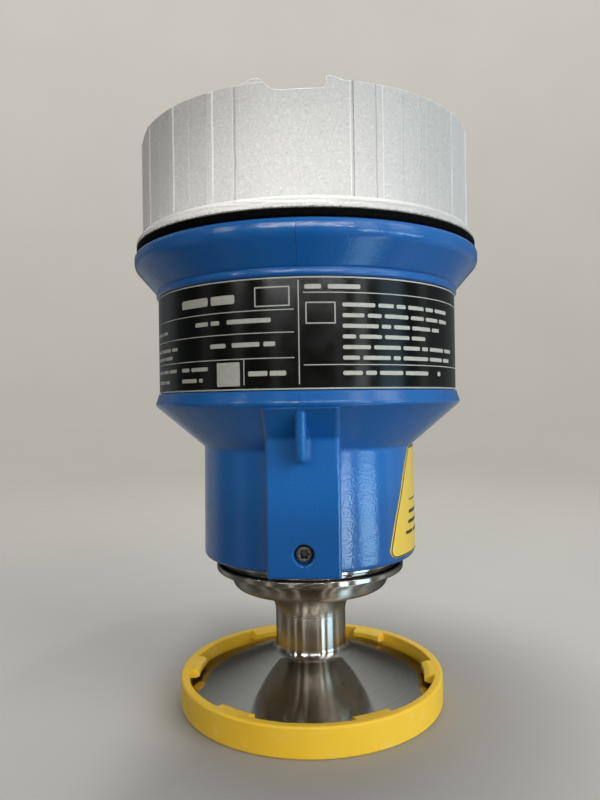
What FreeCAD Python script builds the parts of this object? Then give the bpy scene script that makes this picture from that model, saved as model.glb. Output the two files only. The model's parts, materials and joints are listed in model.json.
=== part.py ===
import FreeCAD, Part
import math
import os

# Pressure transmitter with a hygienic clamp ferrule, a swivelling round housing
# and a screw-on cover, standing upright on its push-on protective cap.
# Units are millimetres. +Z is up along the common axis, the origin is the centre
# of the cap's underside and the front (set screw, nameplate centre) faces -Y.

os.makedirs("parts", exist_ok=True)

V = FreeCAD.Vector
Z0 = V(0, 0, 0)
ZAX = V(0, 0, 1)

# ------------------------------------------------------------ driving dimensions
# protective cap
CAP_R = 34.75            # outside radius
CAP_WALL_IN = 32.6       # inside radius of the wall
CAP_H = 7.4              # height of the wall
CAP_FLOOR = 1.2          # thickness of the closed floor
LUG_COUNT = 6
LUG_IN = 30.0            # radius the snap lugs reach in to
LUG_SPAN = 16.5          # degrees
LUG_OFFSET = -2.0        # degrees from the front

# clamp ferrule, neck and collar (one turned piece)
FACE_Z = 1.5             # sealing face
RIM_R = 32.0             # 64 mm clamp ferrule
RIM_TOP = 3.85
BACK_ANGLE = 21.1        # degrees, back of the ferrule
NECK_R = 9.35
NECK_TOP = 27.2          # corner under the collar, before its fillet
BOWL_R = 20.3            # lower corner of the collar
LIP_R = 24.9             # collar lip
LIP_Z = 34.55
LIP_TOP = 36.25
BAND_R = 24.3            # plain band under the housing
BAND_TOP = 38.5
SPIGOT_R = 21.75         # swivel spigot inside the housing
SPIGOT_TOP = 53.5
PIN_GROOVE_Z = 44.2      # groove the set screw runs in

# housing
HOUSE_Z = 38.8           # lower edge
BORE_R = 21.80           # swivel bore
LOW_R = 28.0             # lower body at its foot
LOW_R_TOP = 27.7
CONE_Z = 67.2
RIDGE_R = 40.25          # nose of the ridge, before its rounding
RIDGE_Z = 78.0
RIDGE_TOP = 80.95
SEAT_R = 38.6            # seat of the nameplate
SEAT_TOP = 105.4
FLANGE_R = 45.0
FLANGE_Z = 113.2
FLANGE_TOP = 116.5
NECK_THREAD_R = 39.5     # male thread that carries the cover
NECK_THREAD_TOP = 127.0
CAVITY_R = 35.5
LEDGE_Z = 80.0
PAD_HALF = 8.4           # flat front pad
PAD_FACE = 31.5
FIN_HALF = 1.1
BOSS_R = 13.5            # cable entry boss at the back
BOSS_FACE = 46.5
ENTRY_Z = 95.0
PORT_R = 9.0
VENT_Z = 60.0
GROUND_AZ = 150.0        # degrees from the front, towards +X
GROUND_Z = 50.0

# nameplate and side label
PLATE_R = 39.1
PLATE_Z = (81.15, 105.2)
PLATE_HALF = 110.0       # degrees each side of the front
LABEL_Z = (40.3, 66.9)

# cover
COVER_Z = 118.4
COVER_R = 42.8           # lands and smooth panels
COVER_TOP = 145.6
COVER_FLANGE_R = 44.45
GROOVE_DEPTH = 0.42      # valleys between the facets
LAND_STEP = 0.24         # lands stand proud of the facets
PANEL_HALF = 17.15       # degrees, smooth panel each side of its centre
LAND_HALF = 1.0          # degrees
PANEL_GROOVE = 0.62      # depth of the groove beside each panel
FACETS = 9
PANEL_AZ = -0.65         # degrees, panel centre from the front
NOTCH_FLOOR = 143.25
HILL_TOP = 146.4
COVER_THREAD_R = 39.85

# electronics
INSERT_TOP = 89.0


# ------------------------------------------------------------ helpers
def path(points):
    """Closed wire in the XZ plane from (r, z) or (r, z, corner radius) points."""
    n = len(points)
    ends = []
    for i in range(n):
        p = V(points[i][0], 0, points[i][1])
        rad = points[i][2] if len(points[i]) > 2 else 0.0
        if rad <= 0:
            ends.append((p, None, p))
            continue
        a = V(points[i - 1][0], 0, points[i - 1][1])
        b = V(points[(i + 1) % n][0], 0, points[(i + 1) % n][1])
        u = (a - p).normalize()
        w = (b - p).normalize()
        ang = math.acos(max(-1.0, min(1.0, u.dot(w))))
        t = rad / math.tan(ang / 2.0)
        bis = (u + w).normalize()
        c = p + bis * (rad / math.sin(ang / 2.0))
        m = c - bis * rad
        ends.append((p + u * t, m, p + w * t))
    edges = []
    for i in range(n):
        s, m, e = ends[i]
        if m is not None:
            edges.append(Part.Arc(s, m, e).toShape())
        nxt = ends[(i + 1) % n][0]
        if e.distanceToPoint(nxt) > 1e-6:
            edges.append(Part.LineSegment(e, nxt).toShape())
    return Part.Wire(edges)


def turned(points, angle=360.0, start=0.0):
    """Solid of revolution about Z; start is measured from -Y towards +X."""
    face = Part.Face(path(points))
    solid = face.revolve(Z0, ZAX, angle)
    if solid.Volume < 0:
        solid.reverse()
    solid.rotate(Z0, ZAX, start - 90.0)
    return solid


def prism_x(points, x0, x1):
    """Polygon of (y, z) points extruded along X."""
    pts = [V(x0, y, z) for y, z in points]
    face = Part.Face(Part.makePolygon(pts + [pts[0]]))
    return face.extrude(V(x1 - x0, 0, 0))


def prism_y(points, y0, y1):
    """Polygon of (x, z) points extruded along Y."""
    pts = [V(x, y0, z) for x, z in points]
    face = Part.Face(Part.makePolygon(pts + [pts[0]]))
    return face.extrude(V(0, y1 - y0, 0))


def cyl(r, z0, z1, x=0.0, y=0.0):
    return Part.makeCylinder(r, z1 - z0, V(x, y, z0), ZAX)


def cyl_y(r, y0, y1, x=0.0, z=0.0):
    return Part.makeCylinder(r, y1 - y0, V(x, y0, z), V(0, 1, 0))


def block(x0, x1, y0, y1, z0, z1):
    return Part.makeBox(x1 - x0, y1 - y0, z1 - z0, V(x0, y0, z0))


def hexagon(af, z0, z1):
    r = af / math.sqrt(3.0)
    pts = [V(r * math.cos(math.radians(60 * k + 30)), r * math.sin(math.radians(60 * k + 30)), z0)
           for k in range(6)]
    return Part.Face(Part.makePolygon(pts + [pts[0]])).extrude(V(0, 0, z1 - z0))


def to_back(shape, z):
    """Turn a piece made along +Z so that it points along +Y at height z."""
    s = shape.copy()
    s.rotate(Z0, V(1, 0, 0), -90.0)
    s.translate(V(0, 0, z))
    return s


def about(shape, az):
    """Turn a piece about the axis; az is towards +X as seen from the front."""
    s = shape.copy()
    s.rotate(Z0, ZAX, az)
    return s


def edges_where(shape, test):
    out = []
    for e in shape.Edges:
        a = e.Vertexes[0].Point
        b = e.Vertexes[-1].Point
        if test(a, b):
            out.append(e)
    return out


def star(r_out, r_in, lobes, z0, z1):
    """Six-lobe socket cutter."""
    pts = []
    for k in range(lobes * 8):
        a = 2 * math.pi * k / (lobes * 8)
        r = 0.5 * (r_out + r_in) + 0.5 * (r_out - r_in) * math.cos(lobes * a)
        pts.append(V(r * math.cos(a), r * math.sin(a), z0))
    return Part.Face(Part.makePolygon(pts + [pts[0]])).extrude(V(0, 0, z1 - z0))


nodes = {}


def add(name, shape):
    nodes[name] = shape


# ------------------------------------------------------------ protective cap
cap = turned([
    (0.0, 0.0), (CAP_R, 0.0, 0.7), (CAP_R, CAP_H, 0.55), (CAP_WALL_IN, CAP_H, 0.35),
    (CAP_WALL_IN, CAP_FLOOR, 0.3), (0.0, CAP_FLOOR)])
for k in range(LUG_COUNT):
    lug = turned([
        (CAP_WALL_IN + 0.9, CAP_H - 0.05), (31.3, CAP_H - 0.05, 0.4), (LUG_IN, CAP_H - 0.6, 0.35),
        (LUG_IN, 5.35, 0.3), (31.0, 4.95), (CAP_WALL_IN + 0.9, 4.95)],
        LUG_SPAN, 90.0 + LUG_OFFSET + 60.0 * k - LUG_SPAN / 2.0)
    cap = cap.fuse(lug)
add("protective_cap", cap.removeSplitter())

# ------------------------------------------------------------ clamp ferrule, neck, collar, spigot
cone_at_neck = RIM_TOP + (RIM_R - NECK_R) * math.tan(math.radians(BACK_ANGLE))
ferrule = turned([
    (1.0, 2.45), (23.6, 2.45), (23.6, FACE_Z), (26.85, FACE_Z, 0.25), (27.45, 2.95, 0.5),
    (29.05, 2.95, 0.5), (29.65, FACE_Z, 0.25), (RIM_R, FACE_Z, 0.45), (RIM_R, RIM_TOP, 0.5),
    (NECK_R, cone_at_neck, 2.6), (NECK_R, NECK_TOP, 5.8), (BOWL_R, 30.1, 2.2), (21.3, 33.2, 4.0),
    (21.45, LIP_Z - 0.1, 0.4), (LIP_R, LIP_Z, 0.5), (LIP_R, LIP_TOP, 0.3), (23.3, LIP_TOP + 0.05, 0.25),
    (23.3, 37.3, 0.3), (BAND_R, 37.3, 0.2), (BAND_R, BAND_TOP, 0.2), (SPIGOT_R, BAND_TOP),
    (SPIGOT_R, PIN_GROOVE_Z - 1.6), (20.2, PIN_GROOVE_Z - 1.2), (20.2, PIN_GROOVE_Z + 1.2),
    (SPIGOT_R, PIN_GROOVE_Z + 1.6), (SPIGOT_R, 47.6), (19.7, 47.6), (19.7, 50.4), (SPIGOT_R, 50.4),
    (SPIGOT_R, SPIGOT_TOP, 0.5), (14.0, SPIGOT_TOP, 0.5), (14.0, 41.0), (12.0, 41.0),
    (12.0, 30.0), (1.0, 30.0)])
add("process_ferrule", ferrule)

# corrugated isolating diaphragm in its recess in the face
top, bot = [], []
steps = 24
for k in range(steps + 1):
    r = 23.5 * k / steps
    wave = 0.0 if (r < 3.0 or r > 21.5) else 0.14 * (1 if k % 2 else -1)
    top.append((r, 2.02 + wave))
    bot.append((r, 1.82 + wave))
add("process_diaphragm", turned(bot + top[::-1]))

# measuring cell with its glass header, contact pins and sensor board
add("sensor_cell", turned([
    (0.0, 30.25), (11.85, 30.25, 0.4), (11.85, 37.4, 0.6), (9.2, 37.4), (9.2, 39.4, 0.4), (0.0, 39.4)]))
pins = []
for k in range(6):
    a = math.radians(60 * k)
    pins.append(cyl(0.4, 39.45, 44.4, 5.5 * math.cos(a), 5.5 * math.sin(a)))
add("sensor_pins", Part.makeCompound(pins))
board = cyl(11.5, 44.45, 46.05)
board = board.cut(block(10.2, 12.5, -2.0, 2.0, 44.0, 47.0))
add("sensor_board", board)
socket = block(-5.0, 5.0, -2.8, 2.8, 46.1, 51.0).cut(block(-4.2, 4.2, -2.0, 2.0, 48.2, 51.5))
add("sensor_socket", socket)
add("sensor_cable", cyl(1.6, 48.3, 71.2))

# swivel seal between spigot and housing bore
oring = Part.makeTorus(20.735, 1.02, V(0, 0, 49.0), ZAX)
add("swivel_oring", oring)

# ------------------------------------------------------------ housing casting
outer = turned([
    (0.0, HOUSE_Z), (LOW_R, HOUSE_Z, 1.0), (LOW_R_TOP, CONE_Z, 0.5), (RIDGE_R, RIDGE_Z, 1.1),
    (39.3, RIDGE_TOP, 0.25), (SEAT_R, RIDGE_TOP), (SEAT_R, SEAT_TOP), (39.2, SEAT_TOP, 0.1),
    (39.62, 105.85, 0.3), (39.62, 106.75, 0.3), (39.35, 107.1, 0.1), (39.95, 107.45, 0.2),
    (FLANGE_R, FLANGE_Z, 2.8), (FLANGE_R, FLANGE_TOP, 1.3),
    (NECK_THREAD_R, FLANGE_TOP), (NECK_THREAD_R, NECK_THREAD_TOP, 0.7), (0.0, NECK_THREAD_TOP)])

# flat front pad that runs up the cone as a sloping facet
pad = prism_x([(-20.0, HOUSE_Z), (-PAD_FACE, HOUSE_Z), (-PAD_FACE, 70.35), (-39.85, 77.25),
               (-30.0, 77.25), (-20.0, 66.0)], -PAD_HALF, PAD_HALF)
soft = edges_where(pad, lambda a, b: abs(abs(a.x) - PAD_HALF) < 1e-6 and abs(a.x - b.x) < 1e-6
                   and a.y < -PAD_FACE + 1e-6 and b.y < -PAD_FACE + 1e-6)
pad = pad.makeFillet(0.7, soft)
foot = edges_where(pad, lambda a, b: abs(a.z - HOUSE_Z) < 1e-6 and abs(b.z - HOUSE_Z) < 1e-6
                   and a.y < -PAD_FACE + 1e-3 and b.y < -PAD_FACE + 1e-3)
pad = pad.makeFillet(0.5, foot)

# upright fin under the ridge at the front
fin = prism_x([(-29.0, 65.2), (-37.5, 65.2), (-39.3, 77.3), (-29.0, 77.3)], -FIN_HALF, FIN_HALF)
foot = edges_where(fin, lambda a, b: abs(a.y + 37.5) < 1e-6 and abs(b.y + 37.5) < 1e-6)
fin = fin.makeFillet(1.6, foot)
soft = edges_where(fin, lambda a, b: abs(a.x - b.x) < 1e-6 and a.y < -35.0 and b.y < -35.0)
fin = fin.makeFillet(0.95, soft)

boss = to_back(turned([(0.0, 30.0), (BOSS_R, 30.0), (BOSS_R, BOSS_FACE, 0.8), (0.0, BOSS_FACE)]), ENTRY_Z)
vent_pad = to_back(turned([(0.0, 22.0), (7.6, 22.0), (7.0, 30.0, 0.6), (0.0, 30.0)]), VENT_Z)
ground_pad = about(to_back(turned([(0.0, 22.0), (6.4, 22.0), (6.0, 30.6, 0.6), (0.0, 30.6)]), GROUND_Z),
                   GROUND_AZ - 180.0)
shell = outer.fuse([pad, fin, boss, vent_pad, ground_pad])

inner = turned([
    (0.0, HOUSE_Z - 1.0), (BORE_R, HOUSE_Z - 1.0), (BORE_R, 54.4), (24.0, 55.8), (24.0, 67.0),
    (29.5, 75.0), (29.5, LEDGE_Z), (CAVITY_R, LEDGE_Z, 0.5), (CAVITY_R, NECK_THREAD_TOP + 1.0),
    (0.0, NECK_THREAD_TOP + 1.0)])
shell = shell.cut(inner)

# threaded holes: cable entry, set screw, vent, ground screw, insert screws
shell = shell.cut(cyl_y(PORT_R, 30.0, BOSS_FACE + 1.0, 0.0, ENTRY_Z))
screw_hole = turned([(0.0, 18.0), (2.05, 18.0), (2.05, 29.6), (2.3, 29.8), (2.3, 31.15), (2.75, 32.0),
                     (0.0, 32.0)])
screw_hole.rotate(Z0, V(1, 0, 0), 90.0)
screw_hole.translate(V(0, 0, PIN_GROOVE_Z))
shell = shell.cut(screw_hole)
shell = shell.cut(cyl_y(3.1, 20.0, 31.0, 0.0, VENT_Z))
shell = shell.cut(about(cyl_y(1.65, 24.6, 31.0, 0.0, GROUND_Z), GROUND_AZ - 180.0))
SCREW_AZ = (0.0, 120.0, 240.0)
for az in SCREW_AZ:
    shell = shell.cut(about(cyl(1.3, 75.6, LEDGE_Z + 0.5, 0.0, -32.4), az))
# the casting as two nodes that meet level at the foot of the nameplate seat
shell = shell.removeSplitter()
below = block(-60.0, 60.0, -60.0, 60.0, HOUSE_Z - 2.0, RIDGE_TOP)
add("housing_base", shell.common(below))
add("housing_shell", shell.cut(below))

# ------------------------------------------------------------ nameplate and side label
add("nameplate", turned([(SEAT_R + 0.04, PLATE_Z[0]), (PLATE_R, PLATE_Z[0]), (PLATE_R, PLATE_Z[1]),
                         (SEAT_R + 0.04, PLATE_Z[1])], 2 * PLATE_HALF, -PLATE_HALF))


def low_r(z):
    return LOW_R + (LOW_R_TOP - LOW_R) * (z - HOUSE_Z) / (CONE_Z - HOUSE_Z)


skin = turned([(low_r(39.9) + 0.02, 39.9), (low_r(39.9) + 0.2, 39.9), (low_r(67.0) + 0.2, 67.0),
               (low_r(67.0) + 0.02, 67.0)])
sheet_pts = [(-20.0, LABEL_Z[0], 2.0), (20.0, LABEL_Z[0], 2.0), (17.75, 49.5), (13.8, 61.2), (11.1, LABEL_Z[1], 1.0),
             (-11.1, LABEL_Z[1], 1.0), (-13.8, 61.2), (-17.75, 49.5)]
sheet = Part.Face(path(sheet_pts)).extrude(V(0, 30.0, 0))     # made in XZ, pushed along +Y
sheet.translate(V(0, 10.0, 0))
sheet.rotate(Z0, ZAX, -90.0)                                  # now facing +X
add("side_label", skin.common(sheet))

# ------------------------------------------------------------ set screw
grub = turned([(0.0, 20.55), (1.2, 20.55), (1.35, 22.2), (1.98, 22.9), (1.98, 29.5), (1.86, 29.6), (1.86, 30.3), (1.6, 30.6), (0.0, 30.6)])
grub = grub.cut(star(1.22, 0.92, 6, 28.4, 31.0))
grub.rotate(Z0, V(1, 0, 0), 90.0)
grub.translate(V(0, 0, PIN_GROOVE_Z))
add("set_screw", grub)

# ------------------------------------------------------------ cable gland at the back
gland = turned([(6.0, 36.5), (8.9, 36.5, 0.5), (8.9, 48.0), (10.0, 48.0), (10.0, 53.5), (9.2, 53.5),
                (9.2, 62.0, 0.4), (7.85, 62.0), (7.85, 54.0), (6.0, 54.0)])
flange_hex = hexagon(24.0, 48.0, 53.5).common(turned([
    (0.0, 48.0), (12.6, 48.0), (13.9, 48.7), (13.9, 52.8), (12.6, 53.5), (0.0, 53.5)]))
gland = gland.fuse(flange_hex.cut(cyl(9.0, 47.0, 54.0))).removeSplitter()
add("gland_body", to_back(gland, ENTRY_Z))
add("gland_washer", to_back(turned([(9.05, 46.55), (11.9, 46.55, 0.3), (11.9, 47.95, 0.3), (9.05, 47.95)]), ENTRY_Z))
add("gland_seal", to_back(turned([(4.0, 54.1), (7.75, 54.1), (7.75, 62.4), (6.2, 64.6, 0.3), (4.0, 64.6)]), ENTRY_Z))
nut = turned([(9.3, 54.3), (10.4, 54.3), (12.0, 54.3), (12.0, 62.4), (11.3, 65.6, 2.5), (9.6, 68.0, 1.0),
              (6.7, 68.0, 0.5), (6.7, 65.3), (9.3, 62.8)])
nut_hex = hexagon(24.0, 54.3, 62.6).common(turned([
    (0.0, 54.3), (12.7, 54.3), (13.9, 55.0), (13.9, 61.4), (12.4, 62.6), (0.0, 62.6)]))
nut = nut.fuse(nut_hex.cut(cyl(9.3, 54.0, 63.0))).removeSplitter()
add("gland_nut", to_back(nut, ENTRY_Z))

# ------------------------------------------------------------ vent plug at the back
vent = turned([(0.0, 24.6), (3.0, 24.6, 0.4), (3.0, 30.05), (5.4, 30.05, 0.2), (5.4, 33.0, 0.9), (0.0, 33.4)])
for k in range(4):
    slot = block(-0.5, 0.5, 3.6, 6.0, 30.9, 32.0)
    slot.rotate(Z0, ZAX, 45.0 + 90.0 * k)
    vent = vent.cut(slot)
add("vent_plug", to_back(vent, VENT_Z))

# ------------------------------------------------------------ outside ground terminal
clamp = block(-4.4, 4.4, -3.4, 3.4, 30.65, 31.75)
clamp = clamp.fuse([block(-4.4, -3.3, -3.4, 3.4, 31.7, 33.4), block(3.3, 4.4, -3.4, 3.4, 31.7, 33.4)])
clamp = clamp.cut(cyl(1.75, 30.0, 32.5)).removeSplitter()
add("ground_clamp", about(to_back(clamp, GROUND_Z), GROUND_AZ - 180.0))
gscrew = turned([(0.0, 25.2), (1.6, 25.2, 0.4), (1.6, 31.8), (3.15, 31.8), (3.15, 33.6, 0.9), (0.0, 34.0)])
gscrew = gscrew.cut(block(-0.45, 0.45, -4.0, 4.0, 32.9, 34.5))
add("ground_screw", about(to_back(gscrew, GROUND_Z), GROUND_AZ - 180.0))

# ------------------------------------------------------------ electronics insert
KEY_AT = ((-11.0, -19.0), (11.0, -19.0))
DIP_AT = (0.0, -21.0)
LED_AT = (0.0, -13.6)
insert = turned([
    (0.0, 81.2), (26.5, 81.2), (26.5, LEDGE_Z + 0.05), (35.2, LEDGE_Z + 0.05, 0.4), (35.2, 84.0, 0.5),
    (34.4, 84.0), (34.4, INSERT_TOP, 0.6), (0.0, INSERT_TOP)])
for az in SCREW_AZ:
    insert = insert.cut(about(cyl(1.75, 79.0, 84.0, 0.0, -32.4), az))
    insert = insert.cut(about(cyl(3.3, 83.6, 90.0, 0.0, -32.4), az))
for x, y in KEY_AT:
    insert = insert.cut(cyl(3.3, 83.6, 90.0, x, y))
insert = insert.cut(block(DIP_AT[0] - 4.1, DIP_AT[0] + 4.1, DIP_AT[1] - 3.2, DIP_AT[1] + 3.2, 85.4, 90.0))
insert = insert.cut(cyl(1.6, 85.0, 90.0, LED_AT[0], LED_AT[1]))
add("electronics_insert", insert.removeSplitter())

iscrews = []
for az in SCREW_AZ:
    s = turned([(0.0, 76.0), (1.25, 76.0, 0.3), (1.25, 80.2), (1.4, 83.65), (2.75, 83.65), (2.75, 85.3, 0.6), (0.0, 85.6)])
    s = s.cut(block(-0.35, 0.35, -1.9, 1.9, 84.6, 86.0)).cut(block(-1.9, 1.9, -0.35, 0.35, 84.6, 86.0))
    s.translate(V(0, -32.4, 0))
    iscrews.append(about(s, az))
add("insert_screws", Part.makeCompound(iscrews))

add("circuit_board", cyl(28.4, 76.0, 77.6).cut(block(24.5, 30.0, -3.0, 3.0, 75.0, 79.0)))
spacers = []
for az in (60.0, 180.0, 300.0):
    spacers.append(about(cyl(2.4, 77.65, 81.15, 0.0, -20.0), az))
add("board_spacers", Part.makeCompound(spacers))
add("board_components", Part.makeCompound([
    block(-16.0, -8.0, -14.0, -6.0, 73.4, 75.95), block(8.0, 15.0, -12.0, -5.0, 74.2, 75.95),
    cyl(3.2, 70.6, 75.95, -11.0, 8.0), cyl(2.5, 71.6, 75.95, 10.0, 8.5),
    block(-4.0, 4.0, 11.0, 17.0, 73.8, 75.95)]))
plug = block(-4.8, 4.8, -2.6, 2.6, 71.6, 75.95)
add("sensor_plug", plug)

# terminals
term = block(-13.5, 13.5, -6.0, 6.0, INSERT_TOP + 0.05, 100.0)
for k in (-1, 0, 1):
    term = term.cut(block(8.4 * k - 2.9, 8.4 * k + 2.9, -2.0, 7.0, 90.6, 96.4))
    term = term.cut(cyl(2.3, 96.0, 101.0, 8.4 * k, 1.6))
soft = edges_where(term, lambda a, b: abs(a.z - 100.0) < 1e-6 and abs(b.z - 100.0) < 1e-6
                   and abs(abs(a.y) - 6.0) < 1e-6 and abs(a.y - b.y) < 1e-6)
term = term.makeChamfer(0.9, soft)
add("terminal_block", term)
cages, tscrews = [], []
for k in (-1, 0, 1):
    c = block(8.4 * k - 2.75, 8.4 * k + 2.75, -1.8, 5.4, 90.75, 96.25)
    c = c.cut(block(8.4 * k - 1.95, 8.4 * k + 1.95, -3.0, 7.0, 91.55, 95.2)).cut(cyl(1.7, 94.0, 97.0, 8.4 * k, 1.6))
    cages.append(c)
    s = turned([(0.0, 94.4), (1.6, 94.4, 0.3), (1.6, 96.35), (2.15, 96.35), (2.15, 98.6, 0.3), (0.0, 98.6)])
    s = s.cut(block(-0.3, 0.3, -2.5, 2.5, 97.6, 99.0))
    s.translate(V(8.4 * k, 1.6, 0))
    tscrews.append(s)
add("terminal_cages", Part.makeCompound(cages))
add("terminal_screws", Part.makeCompound(tscrews))

# adjustment keys over their snap domes
for name, (x, y) in zip(("zero_key", "span_key"), KEY_AT):
    key = turned([(0.0, 85.25), (1.1, 85.25, 0.3), (1.1, 85.9), (3.2, 85.9, 0.2), (3.2, 90.3, 0.5), (0.0, 90.45)])
    key.translate(V(x, y, 0))
    add(name, key)
    dome = turned([(0.0, 84.75), (1.3, 84.55), (2.4, 83.95), (2.9, 83.65), (2.9, 83.85), (2.4, 84.15),
                   (1.3, 84.75), (0.0, 84.95)])
    dome.translate(V(x, y, 0))
    add(name + "_dome", dome)

# switch block with its two sliders
dx, dy = DIP_AT
dip = block(dx - 4.0, dx + 4.0, dy - 3.1, dy + 3.1, 85.45, 89.5)
for off in (-2.0, 2.0):
    dip = dip.cut(block(dx + off - 0.9, dx + off + 0.9, dy - 2.2, dy + 2.2, 87.6, 90.0))
add("switch_block", dip)
for name, off in (("lock_slider", -2.0), ("damping_slider", 2.0)):
    add(name, block(dx + off - 0.8, dx + off + 0.8, dy - 2.05, dy - 0.25, 87.7, 90.4))

add("status_led", turned([(0.0, 85.1), (1.5, 85.1), (1.5, 89.2), (1.2, 89.95, 0.5), (0.0, 90.15)]).translated(
    V(LED_AT[0], LED_AT[1], 0)))
conn = block(-23.0, -18.6, -7.5, 7.5, INSERT_TOP + 0.05, 94.5).cut(block(-21.8, -19.8, -6.5, 6.5, 90.6, 95.0))
add("display_connector", conn)

# ------------------------------------------------------------ cover and its gasket
add("cover_gasket", turned([(40.1, 116.6), (44.4, 116.6, 0.3), (44.4, 118.3, 0.3), (40.1, 118.3)]))

ring = []


def polar(r, deg):
    a = math.radians(deg)
    return V(r * math.sin(a), -r * math.cos(a), 0.0)


pitch = (180.0 - 2 * PANEL_HALF) / FACETS
valley_r = COVER_R - GROOVE_DEPTH
facet_r = COVER_R - LAND_STEP
groove_r = COVER_R - PANEL_GROOVE
beside_r = COVER_R - 0.26
edges = []
for half in (0.0, 180.0):
    edges.append(Part.Arc(polar(COVER_R, half - PANEL_HALF + 0.8), polar(COVER_R, half),
                          polar(COVER_R, half + PANEL_HALF - 0.8)).toShape())
    # square groove beside the panel, then valley, facet, land, facet over and over
    corners = [(groove_r, PANEL_HALF - 0.58), (groove_r, PANEL_HALF + 0.16), (beside_r, PANEL_HALF + 0.38)]
    for k in range(FACETS):
        g = PANEL_HALF + pitch * k
        if k:
            corners += [(valley_r, g - 0.55), (valley_r - 0.14, g - 0.12), (valley_r - 0.14, g + 0.12), (valley_r, g + 0.55)]
        mid = g + pitch / 2
        corners += [(facet_r, mid - LAND_HALF - 0.16), (COVER_R, mid - LAND_HALF), (COVER_R, mid + LAND_HALF),
                    (facet_r, mid + LAND_HALF + 0.16)]
    end = 180.0 - PANEL_HALF
    corners += [(beside_r, end - 0.38), (groove_r, end - 0.16), (groove_r, end + 0.58), (COVER_R, end + 0.8)]
    last = polar(COVER_R, half + PANEL_HALF - 0.8)
    for r, deg in corners:
        q = polar(r, half + deg)
        edges.append(Part.LineSegment(last, q).toShape())
        last = q
outline = Part.Face(Part.Wire(edges))
outline.translate(V(0, 0, 119.5))
body = outline.extrude(V(0, 0, 28.0))
body = body.common(turned([(0.0, 119.5), (43.6, 119.5), (43.6, 144.6), (42.3, COVER_TOP), (0.0, COVER_TOP)]))
flange = turned([(0.0, COVER_Z), (COVER_FLANGE_R, COVER_Z, 0.3), (COVER_FLANGE_R - 0.1, 119.5, 0.25),
                 (43.45, 120.4), (43.25, 120.4), (43.25, 120.8),
                 (42.95, 120.8), (42.95, 121.1), (42.3, 121.3), (0.0, 121.3)])
cover = body.fuse(flange)

# two opposed pairs of raised stops with a tool notch between them
ramp = [(-6.6, 145.85), (-5.9, 145.1), (-5.0, 144.2), (-4.3, 143.75), (-3.4, 143.4), (-2.4, NOTCH_FLOOR),
        (6.3, NOTCH_FLOOR + 0.25), (6.75, NOTCH_FLOOR + 0.5), (7.05, NOTCH_FLOOR + 1.05)]
stops = prism_y([(-11.9, 144.8), (-10.8, 145.3), (-9.8, 145.9), (-9.0, 146.3), (-8.2, HILL_TOP), (-7.3, 146.35)]
                + ramp + [(7.05, 145.8), (7.3, 146.15), (7.8, 146.25), (8.8, 146.1), (9.8, 145.75), (10.8, 145.2),
                          (11.6, 144.6), (11.6, 141.8), (-11.9, 141.8)], -44.0, -31.0)
stops = stops.common(turned([(0.0, 141.8), (42.75, 141.8), (42.75, 145.5), (42.2, 146.8), (0.0, 146.8)]))
gap = prism_y(ramp + [(7.05, 146.0), (-6.6, 146.0)], -46.0, -30.2)
for turn in (0.0, 180.0):
    cover = cover.cut(about(gap, turn))
    cover = cover.fuse(about(stops, turn))
hollow = turned([
    (0.0, COVER_Z - 1.0), (COVER_THREAD_R + 0.5, COVER_Z - 1.0), (COVER_THREAD_R + 0.5, COVER_Z),
    (COVER_THREAD_R, COVER_Z + 0.6), (COVER_THREAD_R, 128.4), (38.2, 129.4), (38.2, 141.0, 1.5), (0.0, 141.0)])
cover = cover.cut(hollow).removeSplitter()
add("cover", about(cover, PANEL_AZ))

# ------------------------------------------------------------ write one file per piece
for name, shape in nodes.items():
    if not shape.isValid():
        print("invalid", name)
    solids = shape.Solids
    if len(solids) == 1 and shape.ShapeType != "Solid":
        shape = solids[0]
    print("%-20s solids %d  volume %.2f" % (name, len(solids), shape.Volume))
    shape.exportStep("parts/%s.step" % name)
print(len(nodes), "nodes")
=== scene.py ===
import json
import math

import bpy
from mathutils import Matrix, Vector

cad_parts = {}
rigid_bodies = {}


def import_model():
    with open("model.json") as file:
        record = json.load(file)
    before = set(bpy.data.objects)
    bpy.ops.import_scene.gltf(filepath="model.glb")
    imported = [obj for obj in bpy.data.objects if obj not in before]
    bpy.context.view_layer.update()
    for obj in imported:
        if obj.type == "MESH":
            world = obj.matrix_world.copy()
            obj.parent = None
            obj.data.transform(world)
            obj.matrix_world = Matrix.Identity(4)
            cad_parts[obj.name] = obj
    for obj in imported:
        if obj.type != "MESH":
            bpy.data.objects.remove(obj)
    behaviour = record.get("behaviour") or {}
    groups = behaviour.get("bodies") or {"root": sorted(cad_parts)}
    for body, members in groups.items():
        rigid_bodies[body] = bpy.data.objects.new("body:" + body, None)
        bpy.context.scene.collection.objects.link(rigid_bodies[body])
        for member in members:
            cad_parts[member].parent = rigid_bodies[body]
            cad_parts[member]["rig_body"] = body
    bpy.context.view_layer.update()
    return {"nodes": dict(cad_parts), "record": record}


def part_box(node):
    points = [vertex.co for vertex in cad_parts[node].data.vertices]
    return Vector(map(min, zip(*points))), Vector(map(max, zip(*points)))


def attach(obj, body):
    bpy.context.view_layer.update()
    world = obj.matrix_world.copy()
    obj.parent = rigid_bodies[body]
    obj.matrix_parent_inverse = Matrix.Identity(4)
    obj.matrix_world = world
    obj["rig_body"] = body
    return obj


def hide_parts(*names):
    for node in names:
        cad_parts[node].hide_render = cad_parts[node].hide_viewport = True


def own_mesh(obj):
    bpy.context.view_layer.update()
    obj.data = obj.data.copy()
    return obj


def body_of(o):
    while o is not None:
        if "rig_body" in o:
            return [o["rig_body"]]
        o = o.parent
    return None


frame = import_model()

scene = bpy.context.scene
NODES = frame["nodes"]
MM = 0.001


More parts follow.
